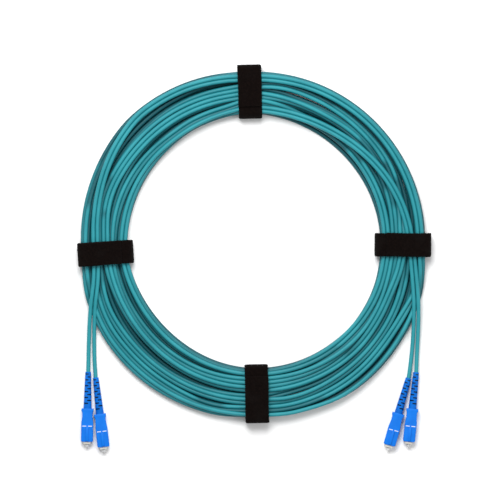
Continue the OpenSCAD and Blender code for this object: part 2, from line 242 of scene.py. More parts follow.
def along_leg(end, angle):
    """Radius and height of a leg's start at an angle, from its route's first points."""
    x, y, z = np.array(ROUTES[end][:3]).T
    at = np.degrees(np.arctan2(y, x))
    at = at + 360 * np.round((angle - at.mean()) / 360)
    return np.polyval(np.polyfit(at, np.hypot(x, y), 2), angle), np.polyval(np.polyfit(at, z, 2), angle)


def wind_coil():
    """Lays the pair of jackets round the ring: angle, radius and height of each jacket's samples.

    The turns start from a plan of layers and places, and are then pulled smooth, let down and
    pushed apart until no jacket lies in another. Columns 0 and 1 are the outer and inner jacket.
    """
    random = np.random.default_rng(SEED)
    last = round((FIRST_ANGLE - LAST_ANGLE) / STEP) + STATIONS * (TURNS - 1)
    j = np.arange(-LEG_SAMPLES, last + LEG_SAMPLES + 1)
    angle = FIRST_ANGLE - STEP * j
    near = (angle + 180) % 360 - 180
    layer, place = np.array(TURN_PLACES).T
    turn = np.clip(j / STATIONS, 0, TURNS - 1.001)
    k = turn.astype(int)
    change = ease((turn - k - 0.2) / 0.75)
    after = np.minimum(k + 1, TURNS - 1)
    place = place[k] * (1 - change) + place[after] * change
    layer = layer[k] * (1 - change) + layer[after] * change
    loose = ease(np.minimum(place, 1 - place) / 0.2)
    for waves, amount in WANDER:
        phase = waves * random.uniform(0.9, 1.1) * turn * 2 * math.pi + random.uniform(0, 2 * math.pi)
        place = place + LOOSE * amount * np.sin(phase) * loose

    low = (round_ring(RING_INSIDE, angle) + JACKET_D / 2)[:, None]
    high = (round_ring(RING_OUTSIDE, angle) - JACKET_D / 2)[:, None]
    middle = low[:, 0] + PAIR_PITCH / 2 + np.clip(place, 0, 1) * (high - low - PAIR_PITCH)[:, 0]
    r = np.stack([middle + PAIR_PITCH / 2, middle - PAIR_PITCH / 2], 1)
    z = (JACKET_D / 2 + STRAP_T + layer * LAYER_H)[:, None] + random.normal(0, 0.03 * MM, r.shape)
    to_strap = np.min([np.abs((angle - a + 180) % 360 - 180) for a in STRAPS.values()], 0)
    to_strap = np.radians(to_strap) * MEAN_R - STRAP_W / 2
    floor = (JACKET_D / 2 + STRAP_T * ease(1 - to_strap / STRAP_CLIMB))[:, None]
    roof = np.where(to_strap < MM, STRAP_ROOF - JACKET_D / 2, 1.0)[:, None]

    on_top = (j <= (FIRST_ANGLE - FIRST_RUN[-1][0]) / STEP) | (j > last - LAST_RUN_SAMPLES)
    for i in np.flatnonzero(on_top):
        left = j[i] < last / 2
        if left and angle[i] > FIRST_ANGLE + 6 or not left and near[i] < LAST_ANGLE - 7:
            side, at = ("left", angle[i]) if left else ("right", near[i])
            for q, which in enumerate("ab"):
                r[i, q], z[i, q] = along_leg(f"{side}_{which}", at)
        else:
            mid_r, mid_z = along_run(FIRST_RUN, angle[i]) if left else along_run(LAST_RUN, near[i])
            r[i] = mid_r + PAIR_PITCH / 2, mid_r - PAIR_PITCH / 2
            z[i] = mid_z
    inner = on_top.copy()
    inner[:4] = inner[-4:] = False
    inner = inner[1:-1]
    for _ in range(30):
        for values in (r, z):
            pull = (values[:-2] + values[2:]) / 2 - values[1:-1]
            values[1:-1][inner] += 0.5 * pull[inner]
    partings = [lay_parting(keys, near, middle) for keys in PARTINGS]
    relax(j, r, z, middle, on_top, (low, high, floor, roof), partings)
    return angle, r, z


def lay_parting(keys, near, middle):
    """A parting's line and gap at each sample, and the side of it that each pass keeps to."""
    at, radius, gap = np.array(sorted(keys)).T
    line = np.interp(near, at, radius, left=0, right=0)
    gap = np.interp(near, at, gap, left=0, right=0)
    side = np.zeros(len(near))
    for run in np.split(np.arange(len(near)), np.flatnonzero(np.diff(gap > 0)) + 1):
        if gap[run[0]] > 0:
            side[run] = np.sign((middle[run] - line[run]).mean())
    return line, gap, side


def relax(j, r, z, middle, on_top, limits, partings):
    """Smooths, lowers and parts the jackets, station by station, with the set runs kept in place.

    Every station holds the jackets that pass it, two to a turn, in a row of the same length. A
    jacket that lies in another is pushed out of it in the plane of the station, and the two
    jackets of a pair are held together.
    """
    low, high, floor, roof = limits
    set_r, set_z = r[on_top].copy(), z[on_top].copy()
    rows = [np.flatnonzero(j % STATIONS == m) for m in range(STATIONS)]
    wide = max(len(row) for row in rows)
    index = np.full((STATIONS, wide), -1)
    for m, row in enumerate(rows):
        index[m, :len(row)] = row
    used = index >= 0
    at = index[used]
    count = 2 * wide
    doubled = lambda flags: np.repeat(flags[:, :, None], 2, 2).reshape(STATIONS, count)
    fixed, real = doubled(used & on_top[np.maximum(index, 0)]), doubled(used)
    free = (real & ~fixed).astype(np.float32)
    both = real[:, :, None] & real[:, None] & ~np.eye(count, dtype=bool)
    twins = np.kron(np.eye(wide), np.ones((2, 2)))[None] > 0
    weight = free[:, :, None] / np.maximum(free[:, :, None] + free[:, None], 1e-6) * both
    under = free[:, :, None].astype(bool) & fixed[:, None] & both
    crossed = under.any((1, 2))
    want = np.where(both, np.where(twins, PAIR_PITCH, JACKET_D + TOUCH_GAP), 0).astype(np.float32)
    least = np.where(twins, -1, 0).astype(np.float32)
    grid_r = np.where(used, 0, 100.0)[:, :, None].repeat(2, 2).astype(np.float32)
    grid_z = np.zeros_like(grid_r)
    rounds = ROUNDS
    for n in range(rounds):
        cool = 1 - n / rounds
        settling = n > SETTLE_FROM * rounds
        z -= SINK * cool
        if not settling:
            r += (DRAW * (middle - r.mean(1)) * (0.15 + 0.85 * cool))[:, None]
        upper = z.mean(1) > UPPER_FROM
        for line, gap, side in partings:
            off = side * (r.mean(1) - line)
            short = PARTING_SHARE * gap + PAIR_PITCH / 2 + JACKET_D / 2 - off
            push = np.where(upper & (gap > 0) & (off > -MM), np.clip(short, 0, 0.5 * MM), 0)
            r += (PART * side * push)[:, None]
        for _ in range(1 if settling else 3):
            for values in (r, z):
                values[1:-1] += STRAIGHTEN * ((values[:-2] + values[2:]) / 2 - values[1:-1])
        r[on_top], z[on_top] = set_r, set_z
        for _ in range(12 if settling else 6):
            grid_r[used], grid_z[used] = r[at], z[at]
            flat_r, flat_z = grid_r.reshape(STATIONS, count), grid_z.reshape(STATIONS, count)
            dr = flat_r[:, :, None] - flat_r[:, None]
            dz = flat_z[:, :, None] - flat_z[:, None]
            level = dz[crossed]
            meets = under[crossed] & (np.abs(dr[crossed]) < JACKET_D) & (level > -JACKET_D / 2)
            dz[crossed] = np.where(meets, -JACKET_D / 2, level)
            apart = np.sqrt(dr * dr + dz * dz) + 1e-9
            push = np.maximum(want - apart, least) * weight / apart * PUSH_OUT
            flat_r = flat_r + (push * dr).sum(2)
            flat_z = flat_z + (push * dz).sum(2)
            r[at] = flat_r.reshape(STATIONS, wide, 2)[used]
            z[at] = flat_z.reshape(STATIONS, wide, 2)[used]
            np.clip(z, floor, roof, out=z)
            np.clip(r, low, high, out=r)
            r[on_top], z[on_top] = set_r, set_z


def smooth_route(points, steps):
    """A Catmull-Rom curve through the points."""
    p = np.array([points[0], *points, points[-1]], float)
    t = np.arange(steps)[:, None] / steps
    out = []
    for a, b, c, d in zip(p, p[1:], p[2:], p[3:]):
        out.append(0.5 * (2 * b + (c - a) * t + (2 * a - 5 * b + 4 * c - d) * t ** 2
                          + (3 * b - a - 3 * c + d) * t ** 3))
    return np.concatenate(out + [p[-1:]])


def leg_line(end):
    """One leg's centreline, from its route's start down into the plug's crimp sleeve."""
    inside = [on_axis(end, BOOT_END - (BOOT_END - JACKET_END) * k / 4) for k in range(5)]
    return smooth_route(ROUTES[end] + inside, 4)


# How far to the side a jacket still shades another, and the most that it counts, in diameters
COVER_REACH = 1.5
COVER_MOST = 1.6


def cover_over(angle, r, z):
    """How deep each sample lies: how far the jackets beside it stand above it, in diameters."""
    deep = np.zeros_like(r)
    station = np.round(angle / STEP).astype(int) % STATIONS
    for m in range(STATIONS):
        row = np.flatnonzero(station == m)
        rr, zz = r[row].ravel(), z[row].ravel()
        beside = np.abs(rr[:, None] - rr) < COVER_REACH * JACKET_D
        rise = np.where(beside, zz - zz[:, None], 0).max(1) / JACKET_D
        deep[row] = np.clip(rise, 0, COVER_MOST).reshape(-1, 2)
    return deep


def jacket_line(which, angle, r, z, cover):
    """The whole centreline of jacket a or b, from its left-hand plug to its right-hand one."""
    q = "ab".index(which)
    turned = np.radians(angle)
    wound = np.stack([r[:, q] * np.cos(turned), r[:, q] * np.sin(turned), z[:, q]], 1)
    left, right = leg_line("left_" + which), leg_line("right_" + which)
    near = (angle + 180) % 360 - 180
    keep = np.ones(len(angle), bool)
    ends = len(angle) // 2
    start_angle = math.degrees(math.atan2(left[0][1], left[0][0])) % 360
    end_angle = math.degrees(math.atan2(right[0][1], right[0][0]))
    keep[:ends] = angle[:ends] < start_angle - STEP / 2
    last_turn = np.arange(len(angle)) > len(angle) - STATIONS // 2
    keep[last_turn] = near[last_turn] > end_angle + STEP / 2
    line = np.concatenate([left[::-1], wound[keep], right])
    crowd = np.concatenate([np.zeros(len(left)), cover[keep, q], np.zeros(len(right))])
    mix = np.zeros(len(line))
    for joint in (len(left), len(line) - len(right)):
        mix[joint - 6:joint + 6] = 1
    mix = mix[1:-1, None]
    for _ in range(12):
        line[1:-1] += mix * 0.5 * ((line[:-2] + line[2:]) / 2 - line[1:-1])
    return line, crowd


def rings_along(line, section):
    """A closed section, given as (side, up) offsets, at each point of a line."""
    ahead = np.gradient(line, axis=0)
    ahead /= np.linalg.norm(ahead, axis=1)[:, None]
    side = np.cross(ahead, (0, 0, 1))
    side /= np.linalg.norm(side, axis=1)[:, None]
    up = np.cross(side, ahead)
    section = np.asarray(section)
    return line[:, None] + section[:, 0, None] * side[:, None] + section[:, 1, None] * up[:, None]


def skin(name, rings, closed=False):
    """A tube from rings of points; its ends are capped unless it closes on itself."""
    count, sides = rings.shape[:2]
    a = np.arange(count if closed else count - 1)[:, None] * sides
    b = np.arange(sides)[None]
    c = (b + 1) % sides
    after = (a + sides) % (count * sides)
    faces = np.stack([a + b, a + c, after + c, after + b], 2).reshape(-1, 4).tolist()
    if not closed:
        faces += [list(range(sides))[::-1], [(count - 1) * sides + s for s in range(sides)]]
    mesh = bpy.data.meshes.new(name)
    mesh.from_pydata(rings.reshape(-1, 3).tolist(), [], faces)
    mesh.polygons.foreach_set("use_smooth", [True] * len(mesh.polygons))
    piece = bpy.data.objects.new(name, mesh)
    bpy.context.scene.collection.objects.link(piece)
    return piece


def swept(name, rings, line):
    """A capped tube along a line, with a UV map that runs round and along it in metres."""
    piece = skin(name, rings)
    count, sides = rings.shape[:2]
    run = np.concatenate([[0], np.cumsum(np.linalg.norm(np.diff(line, axis=0), axis=1))])
    layer = piece.data.uv_layers.new(name="along")
    corner = np.zeros((len(piece.data.loops), 2), np.float32)
    i, s = np.divmod(np.arange((count - 1) * sides), sides)
    for n, (di, ds) in enumerate(((0, 0), (0, 1), (1, 1), (1, 0))):
        corner[n:4 * len(i):4] = np.stack([(s + ds) / sides, run[i + di]], 1)
    layer.data.foreach_set("uv", corner.ravel())
    return piece


def circle(radius, sides):
    """A round section as (side, up) offsets."""
    turn = np.arange(sides) / sides * 2 * math.pi
    return np.stack([radius * np.cos(turn), radius * np.sin(turn)], 1)


# Corners round a jacket, and a radius about a plug's axis that takes in its jacket alone
JACKET_SIDES = 24
BORE_R = 0.0025


def inside_boot(points, end):
    """1 for the points of a jacket that lie inside an end's boot, easing to 0 at its mouth."""
    tip, mouth = np.array(on_axis(end, 0.0)), np.array(on_axis(end, BOOT_END))
    ahead = (mouth - tip) / np.linalg.norm(mouth - tip)
    back = (points - tip) @ ahead
    aside = np.linalg.norm(points - tip - back[:, None] * ahead, axis=1)
    in_plug = (aside < BORE_R) & (back > JACKET_END - 0.002)
    return in_plug * np.clip((BOOT_END - 0.0005 - back) / 0.0012, 0, 1)


def make_cords():
    """The two jackets of the duplex cord, each with its crevices and the ends inside its boots marked for
    painted shade in the finish.
    """
    angle, r, z = wind_coil()
    cover = cover_over(angle, r, z)
    lines, pieces = {}, {}
    section = circle(JACKET_D / 2, JACKET_SIDES)
    flank = ease(0.75 - section[:, 1] / JACKET_D * 2)
    for which in "ab":
        line, crowd = jacket_line(which, angle, r, z, cover)
        lines[which] = line
        piece = swept("jacket_" + which, rings_along(line, section), line)
        # Painted shade in the crevices: darker the more the jackets beside stand above, and more on the
        # lower flanks there
        crease = np.clip(0.8 * crowd[:, None] + 0.25 * flank * (crowd > 0)[:, None], 0, 1)
        points = np.array([v.co for v in piece.data.vertices])
        # Painted shade: the stretch of each jacket inside a boot is marked to go dark
        painted_boot_shade = np.maximum(inside_boot(points, "left_" + which), inside_boot(points, "right_" + which))
        for name, values in (("crease", crease.ravel()), ("painted_boot_shade", painted_boot_shade)):
            piece.data.attributes.new(name, "FLOAT", "POINT").data.foreach_set("value", values)
        pieces[which] = piece
    return pieces, lines


# ---------------------------------------------------------------- shader kit

class Value:
    """A number or colour in a material's nodes; sums and products of values add Math nodes."""

    def __init__(self, paint, socket):
        self.paint, self.socket = paint, socket

    def math(self, operation, a, b):
        return self.paint.node("ShaderNodeMath", {"operation": operation}, {0: a, 1: b})

    def __add__(self, other):
        return self.math("ADD", self, other)

    def __rsub__(self, other):
        return self.math("SUBTRACT", other, self)

    def __mul__(self, other):
        return self.math("MULTIPLY", self, other)

    __radd__, __rmul__ = __add__, __mul__


class Paint:
    """One material: constants go straight on its shader's sockets, patterns come through put()."""

    def __init__(self, name, **constants):
        self.material = bpy.data.materials.new(name)
        self.material.use_nodes = True
        self.tree = self.material.node_tree
        self.shader = self.tree.nodes["Principled BSDF"]
        for socket, value in constants.items():
            self.shader.inputs[socket.replace("_", " ")].default_value = value

    def node(self, kind, settings=None, values=None, output=0):
        """Adds a node: its settings first, then the values or links of its sockets."""
        made = self.tree.nodes.new(kind)
        for key, value in (settings or {}).items():
            setattr(made, key, value)
        for key, value in (values or {}).items():
            if isinstance(value, Value):
                self.tree.links.new(value.socket, made.inputs[key])
            else:
                made.inputs[key].default_value = value
        return Value(self, made.outputs[output])

    def put(self, socket, value):
        """Feeds one of the shader's sockets."""
        self.tree.links.new(value.socket, self.shader.inputs[socket])
        return self

    def place(self, scale=1.0, stretch=(1, 1, 1), source="Object"):
        """A position on the piece, in metres times scale."""
        where = self.node("ShaderNodeTexCoord")
        where = Value(self, where.socket.node.outputs[source])
        scales = [scale * s for s in stretch]
        return self.node("ShaderNodeMapping", None, {"Vector": where, "Scale": scales})

    def noise(self, place, detail=2.0, rough=0.5):
        return self.node("ShaderNodeTexNoise", None,
                         {"Vector": place, "Scale": 1.0, "Detail": detail, "Roughness": rough})

    def grains(self, place, rough=1.0):
        """Cells: 0 at the middle of each and rising to its edge."""
        return self.node("ShaderNodeTexVoronoi", None, {"Vector": place, "Scale": 1.0, "Randomness": rough})

    def between(self, value, low, high):
        """0 below low and 1 above high."""
        return self.node("ShaderNodeMapRange", {"interpolation_type": "SMOOTHSTEP"},
                         {"Value": value, "From Min": low, "From Max": high})

    def blend(self, share, a, b):
        """Colour a where the share is 0 and colour b where it is 1."""
        colour = lambda c: c if isinstance(c, Value) else (*c, 1)
        return self.node("ShaderNodeMix", {"data_type": "RGBA"}, {0: share, 6: colour(a), 7: colour(b)}, 2)

    def attribute(self, name):
        return self.node("ShaderNodeAttribute", {"attribute_name": name}, None, 2)

    def bump(self, height, depth, strength=1.0):
        return self.put("Normal", self.node("ShaderNodeBump", None,
                                            {"Height": height, "Distance": depth, "Strength": strength}))


# ---------------------------------------------------------------- finishes

def jacket_finish():
    """Aqua cord jacket: soft gloss, faint drawing lines along it, a mottle of handling, and painted shade
    in its crevices and inside the boots.
    """
    paint = Paint("aqua_jacket", Specular_IOR_Level=0.26)
    cloud = paint.noise(paint.place(45), 3)
    fine = paint.noise(paint.place(1600), 2)
    lines = paint.noise(paint.place(1, (26, 9, 1), "UV"), 3, 0.6)
    tone = paint.blend(paint.between(cloud, 0.3, 0.7), (0.014, 0.212, 0.248), (0.021, 0.256, 0.296))
    tone = paint.blend(paint.between(lines, 0.55, 0.8) * 0.35, tone, (0.050, 0.34, 0.38))
    # The last stretch, inside the boot and its crimp, is painted near-black as shade
    painted_boot_shade = paint.attribute("painted_boot_shade")
    tone = paint.blend(painted_boot_shade, tone, (0.002, 0.012, 0.02))
    # Painted shade: the jacket darkens in the crevices between turns
    tone = paint.blend(paint.attribute("crease") * 0.8, tone, (0.002, 0.045, 0.058))
    paint.put("Base Color", tone)
    paint.put("Roughness", 0.40 + cloud * 0.12 + lines * 0.06)
    paint.bump(lines * 0.7 + fine * 0.3, 0.00004, 0.5)
    return paint.material


def strap_finish():
    """Black napped hook-and-loop: matted loops with a few lighter hairs and a woven edge."""
    paint = Paint("black_hook_and_loop", Specular_IOR_Level=0.03, Sheen_Weight=0.02, Sheen_Roughness=0.6)
    nap = paint.grains(paint.place(2600))
    mat = paint.noise(paint.place(700), 4, 0.65)
    patch = paint.noise(paint.place(90), 3)
    hairs = paint.noise(paint.place(1, (900, 2600, 900)), 3, 0.7)
    tone = paint.blend(paint.between(mat, 0.3, 0.75), (0.0020, 0.0010, 0.0008), (0.0050, 0.0026, 0.0020))
    tone = paint.blend(paint.between(patch, 0.45, 0.75) * 0.5, tone, (0.0055, 0.0042, 0.0038))
    tone = paint.blend(paint.between(hairs, 0.70, 0.80) * 0.5, tone, (0.03, 0.025, 0.022))
    paint.put("Base Color", tone)
    paint.put("Roughness", 0.86 + mat * 0.12)
    paint.bump((1 - nap) * 0.5 + mat * 0.8, 0.0003, 0.8)
    return paint.material


def grip_finish():
    """Bright blue moulded grip with a fine spark-eroded grain and paler flecks in the grain."""
    paint = Paint("blue_grip_plastic", Specular_IOR_Level=0.16)
    grain = paint.noise(paint.place(5200), 3, 0.6)
    cloud = paint.noise(paint.place(160), 3)
    tone = paint.blend(paint.between(cloud, 0.3, 0.7), (0.0010, 0.138, 0.60), (0.0016, 0.160, 0.66))
    tone = paint.blend(paint.between(grain, 0.62, 0.8) * 0.3, tone, (0.008, 0.21, 0.78))
    paint.put("Base Color", tone)
    paint.put("Roughness", 0.42 + grain * 0.16)
    paint.bump(grain, 0.00003, 0.5)
    return paint.material


def boot_finish():
    """Deeper blue soft boot; the inside of its slots is painted dark as shade."""
    paint = Paint("blue_boot_rubber", Specular_IOR_Level=0.12)
    grain = paint.noise(paint.place(3600), 3, 0.6)
    cloud = paint.noise(paint.place(210), 3)
    deep = paint.between(paint.attribute("slot_shade_depth"), 0.06, 0.45)
    tone = paint.blend(paint.between(cloud, 0.3, 0.7), (0.0004, 0.108, 0.47), (0.0008, 0.134, 0.56))
    # Painted shade: the slots darken to near-black with depth below the outside
    tone = paint.blend(deep, tone, (0.0006, 0.004, 0.022))
    paint.put("Base Color", tone)
    paint.put("Roughness", 0.46 + grain * 0.14 + deep * 0.2)
    paint.bump(grain, 0.00003, 0.4)
    return paint.material


def cloudy_finish(name, dark, light, roughness, scale, grain_depth=0.00002, stretch=(1, 1, 1), **constants):
    """A plain moulded or machined surface: two close tones, a fine grain and an uneven polish."""
    paint = Paint(name, **constants)
    cloud = paint.noise(paint.place(scale, stretch), 4, 0.6)
    grain = paint.noise(paint.place(scale * 14, stretch), 3, 0.6)
    paint.put("Base Color", paint.blend(paint.between(cloud, 0.3, 0.7), dark, light))
    paint.put("Roughness", roughness + cloud * 0.12 + grain * 0.06)
    paint.bump(grain, grain_depth, 0.5)
    return paint.material


FINISHES = {
    "jacket": jacket_finish(),
    "strap": strap_finish(),
    "grip": grip_finish(),
    "boot": boot_finish(),
    "plug_frame": cloudy_finish("pale_frame_plastic", (0.60, 0.575, 0.51), (0.68, 0.655, 0.59), 0.36, 260),
    "ferrule": cloudy_finish("zirconia", (0.50, 0.51, 0.52), (0.58, 0.585, 0.59), 0.12, 300, 0.000004,
                             Coat_Weight=0.3),
    "plated_metal": cloudy_finish("nickel_plate", (0.50, 0.49, 0.46), (0.60, 0.59, 0.56), 0.20, 400,
                                  stretch=(1, 0.3, 1), Metallic=1.0),
    "spring_steel": cloudy_finish("spring_wire", (0.36, 0.36, 0.37), (0.48, 0.48, 0.49), 0.24, 500,
                                  Metallic=1.0),
    "rear_body": cloudy_finish("grey_body", (0.40, 0.38, 0.33), (0.50, 0.48, 0.42), 0.34, 320),
    "yarn": cloudy_finish("aramid_yarn", (0.50, 0.32, 0.06), (0.82, 0.62, 0.18), 0.52, 300, 0.0001,
                          (9, 0.6, 9), Sheen_Weight=0.3),
    "fibre": cloudy_finish("buffered_fibre", (0.62, 0.68, 0.70), (0.78, 0.84, 0.86), 0.14, 500, 0.000003,
                           Coat_Weight=0.5),
    "mark": cloudy_finish("white_print", (0.50, 0.58, 0.72), (0.66, 0.72, 0.82), 0.45, 900),
}


def dress(piece, body, finish, *stands_for):
    """Gives a piece its finish, its body and the CAD nodes that it stands for."""
    piece.data.materials.clear()
    piece.data.materials.append(FINISHES[finish])
    if body:
        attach(piece, body)
    if stands_for:
        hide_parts(*stands_for)


# ---------------------------------------------------------------- bench work
# Sizes here are in millimetres. A plug is modelled with its tip at the origin, running back along y.

AXIS = 3.7


def take(piece):
    """Makes a piece the only one selected, and active."""
    bpy.ops.object.select_all(action="DESELECT")
    piece.select_set(True)
    bpy.context.view_layer.objects.active = piece


def block(size, centre, name="block"):
    """A cube primitive at its size and place."""
    bpy.ops.mesh.primitive_cube_add(size=1, location=[c * MM for c in centre])
    piece = bpy.context.object
    piece.name = name
    piece.scale = [s * MM for s in size]
    take(piece)
    bpy.ops.object.transform_apply(location=True, rotation=True, scale=True)
    return piece


def rod(radius, start, end, sides=64, name="rod"):
    """A cylinder primitive along a plug's axis."""
    bpy.ops.mesh.primitive_cylinder_add(vertices=sides, radius=radius * MM, depth=(end - start) * MM,
                                        location=(0, (start + end) / 2 * MM, AXIS_Z),
                                        rotation=(math.pi / 2, 0, 0))
    piece = bpy.context.object
    piece.name = name
    take(piece)
    bpy.ops.object.transform_apply(location=True, rotation=True, scale=True)
    return piece


def slice_at(piece, places):
    """Cuts rings of edges across a piece at places along the plug."""
    take(piece)
    bpy.ops.object.mode_set(mode="EDIT")
    for place in places:
        bpy.ops.mesh.select_all(action="SELECT")
        bpy.ops.mesh.bisect(plane_co=(0, place * MM, 0), plane_no=(0, 1, 0))
    bpy.ops.object.mode_set(mode="OBJECT")


def pick(piece, kind, test):
    """In edit mode, selects the verts, edges or faces whose middle passes a test, given in millimetres."""
    bpy.ops.mesh.select_mode(type={"verts": "VERT", "edges": "EDGE", "faces": "FACE"}[kind])
    bpy.ops.mesh.select_all(action="DESELECT")
    shape = bmesh.from_edit_mesh(piece.data)
    for part in getattr(shape, kind):
        corners = [v.co for v in part.verts] if kind != "verts" else [part.co]
        middle = sum(corners, Vector()) / len(corners) / MM
        if test(middle):
            part.select_set(True)
    shape.select_flush_mode()
    bmesh.update_edit_mesh(piece.data)


def squeeze(piece, test, scale, centre=(0, 0, AXIS)):
    """Scales the points that pass a test about a centre, in edit mode."""
    take(piece)
    bpy.ops.object.mode_set(mode="EDIT")
    pick(piece, "verts", test)
    bpy.ops.transform.resize(value=scale, center_override=[c * MM for c in centre])
    bpy.ops.object.mode_set(mode="OBJECT")


def round_edges(piece, test, width, segments=4, clamp=True):
    """Bevels the edges whose middle passes a test."""
    take(piece)
    bpy.ops.object.mode_set(mode="EDIT")
    pick(piece, "edges", test)
    bpy.ops.mesh.bevel(offset=width * MM, segments=segments, affect="EDGES", clamp_overlap=clamp)
    bpy.ops.object.mode_set(mode="OBJECT")


def finish_modifier(piece, kind, **settings):
    """Adds a modifier and applies it."""
    take(piece)
    modifier = piece.modifiers.new("shape", kind)
    for key, value in settings.items():
        setattr(modifier, key, value)
    bpy.ops.object.modifier_apply(modifier=modifier.name)


def combine(piece, other, operation="DIFFERENCE"):
    """Cuts another piece out, or joins it on, and puts it away."""
    finish_modifier(piece, "BOOLEAN", object=other, operation=operation, solver="EXACT")
    bpy.data.objects.remove(other)


def soften(piece, width=0.08, degrees=50, segments=2):
    """Breaks the sharp edges and shades the rest smooth."""
    finish_modifier(piece, "BEVEL", width=width * MM, segments=segments, limit_method="ANGLE",
                    angle_limit=math.radians(degrees), use_clamp_overlap=True)
    take(piece)
    bpy.ops.object.shade_smooth_by_angle(angle=math.radians(35))


def at_end(master, end):
    """A copy of a piece modelled at the origin, moved in its mesh to one end's plug."""
    name = f"{master.name.split('.')[0]}_{end}"
    copy = bpy.data.objects.new(name, master.data.copy())
    copy.data.name = name
    (x, y), turn = ENDS[end]
    copy.data.transform(Matrix.Translation((x, y, 0)) @ Matrix.Rotation(math.radians(turn), 4, "Z"))
    bpy.context.scene.collection.objects.link(copy)
    return copy


# ---------------------------------------------------------------- the plug's outer pieces

GRIP_FROM, GRIP_TO = 3.9, 28.9
GRIP_W, GRIP_H = 9.0, 7.4
# The grip's width, as a share of the whole, at distances from its rear end
WAIST = ((12.0, 1.0), (10.2, 0.985), (8.4, 0.922), (6.5, 0.872), (4.6, 0.866), (2.9, 0.874), (2.3, 0.93),
         (1.8, 1.0))
# Inside the grip, from the front: the hollow round the frame, then the bore round the boot
HOLLOW = (7.1, 18.3, 5.7)
HOLLOW_AT = 12.05
REAR_BORE = (3.25, 20.6, 30)
# The side windows that the catch bosses stand in, the key on top, and a printed mark
WINDOW = (11, 5.9, 3.4)
WINDOW_AT = 12.55
KEY = (2.0, 10.65, 1.3)
KEY_PLACE = (0, 9.825, 7.65)
MARK = (2.9, 0.62, 0.09)
MARK_SIDE, MARK_AT, MARK_Z = 2.13, 15.65, 7.415


def model_grip():
    """The push-pull grip: waisted block, hollow from the front, bored from behind, windowed, keyed."""
    middle = (GRIP_FROM + GRIP_TO) / 2
    grip = block((GRIP_W, GRIP_TO - GRIP_FROM, GRIP_H), (0, middle, AXIS), "grip_shell")
    round_edges(grip, lambda p: abs(p.y - GRIP_FROM) < 0.01 and abs(p.x) > 4.4 and 1 < p.z < 6, 1.0)
    round_edges(grip, lambda p: abs(p.x) > 3.4 and abs(p.z - AXIS) > 3.69, 0.45, clamp=False)
    slice_at(grip, [GRIP_TO - back for back, _ in WAIST])
    for back, width in WAIST:
        squeeze(grip, lambda p, y=GRIP_TO - back: abs(p.y - y) < 0.01, (width, 1, 1))
    cavity = block(HOLLOW, (0, HOLLOW_AT, AXIS))
    finish_modifier(cavity, "BEVEL", width=0.35 * MM, segments=3)
    combine(grip, cavity)
    combine(grip, rod(*REAR_BORE))
    windows = block(WINDOW, (0, WINDOW_AT, AXIS))
    finish_modifier(windows, "BEVEL", width=0.3 * MM, segments=2)
    combine(grip, windows)
    key = block(KEY, KEY_PLACE)
    finish_modifier(key, "BEVEL", width=0.16 * MM, segments=2)
    combine(grip, key, "UNION")
    soften(grip, 0.10, 55)
    return grip


def model_marks():
    """The two printed insertion marks, one on each side of the key."""
    marks = [block(MARK, (side * MARK_SIDE, MARK_AT, MARK_Z)) for side in (-1, 1)]
    for mark in marks:
        finish_modifier(mark, "BEVEL", width=0.04 * MM, segments=2)
    bpy.ops.object.select_all(action="DESELECT")
    for mark in marks:
        mark.select_set(True)
    bpy.context.view_layer.objects.active = marks[0]
    bpy.ops.object.join()
    marks[0].name = "insertion_marks"
    return marks[0]


FRAME_W, FRAME_H = 6.8, 5.4
BOSS_W = 8.3
# Radius, start and end of each step of the frame's bore
FRAME_BORES = ((2.25, 1.3, 6.95), (1.5, 2.3, 10.6), (2.3, 7.55, 20.5), (2.38, 17.55, 18.45))


def model_frame():
    """The plug frame: narrow tip, catch bosses with ramps, stepped bore."""
    frame_piece = block((FRAME_W, 17.2, FRAME_H), (0, 10.9, AXIS), "frame_body")
    slice_at(frame_piece, (2.6, 3.7, 4.0))
    squeeze(frame_piece, lambda p: p.y < 2.35, (5.0 / FRAME_W, 1, 4.8 / FRAME_H))
    squeeze(frame_piece, lambda p: 2.5 < p.y < 3.75, (5.6 / FRAME_W, 1, 1))
    round_edges(frame_piece, lambda p: abs(p.x) > 2.2 and (p.z < 1.4 or p.z > 6.0) and p.y > 2.4, 0.3, 3)
    bosses = block((BOSS_W, 3.5, 3.0), (0, 13.55, AXIS))
    squeeze(bosses, lambda p: p.y < 11.9, (6.7 / BOSS_W, 1, 1))
    finish_modifier(bosses, "BEVEL", width=0.12 * MM, segments=2)
    combine(frame_piece, bosses, "UNION")
    for radius, start, end in FRAME_BORES:
        combine(frame_piece, rod(radius, start, end))
    soften(frame_piece, 0.05, 55, 1)
    return frame_piece


BOOT_FROM, BOOT_TO = 23.1, 56.4
COLLAR_R = 3.0
# Rings of edges along the boot, and its outside radius at places along it
BOOT_RINGS = (23.3, 29.0, 29.9, 31.5, 56.1)
BOOT_PLACES, BOOT_RADII = (23.1, 23.3, 29.9, 56.1, 56.4), (2.8, 3.0, 3.0, 2.15, 1.95)
# The bores for the crimp and for the jacket: radius, start, end
CRIMP_BORE, JACKET_BORE = (2.35, 22, 30.4), (1.6, 29, 58)
SLOT_ROWS = 11
FIRST_SLOT, SLOT_PITCH, SLOT_L = 32.3, 2.2, 0.95
SLOT_SIDE, SLOT_RISE = 1.7, 2.35
# The depth below the outside at which a slot's painted shade is full
DARK_DEPTH = 0.8


def boot_radius(back):
    """Outside radius of the boot at a distance from the ferrule's tip."""
    return float(np.interp(back, BOOT_PLACES, BOOT_RADII))


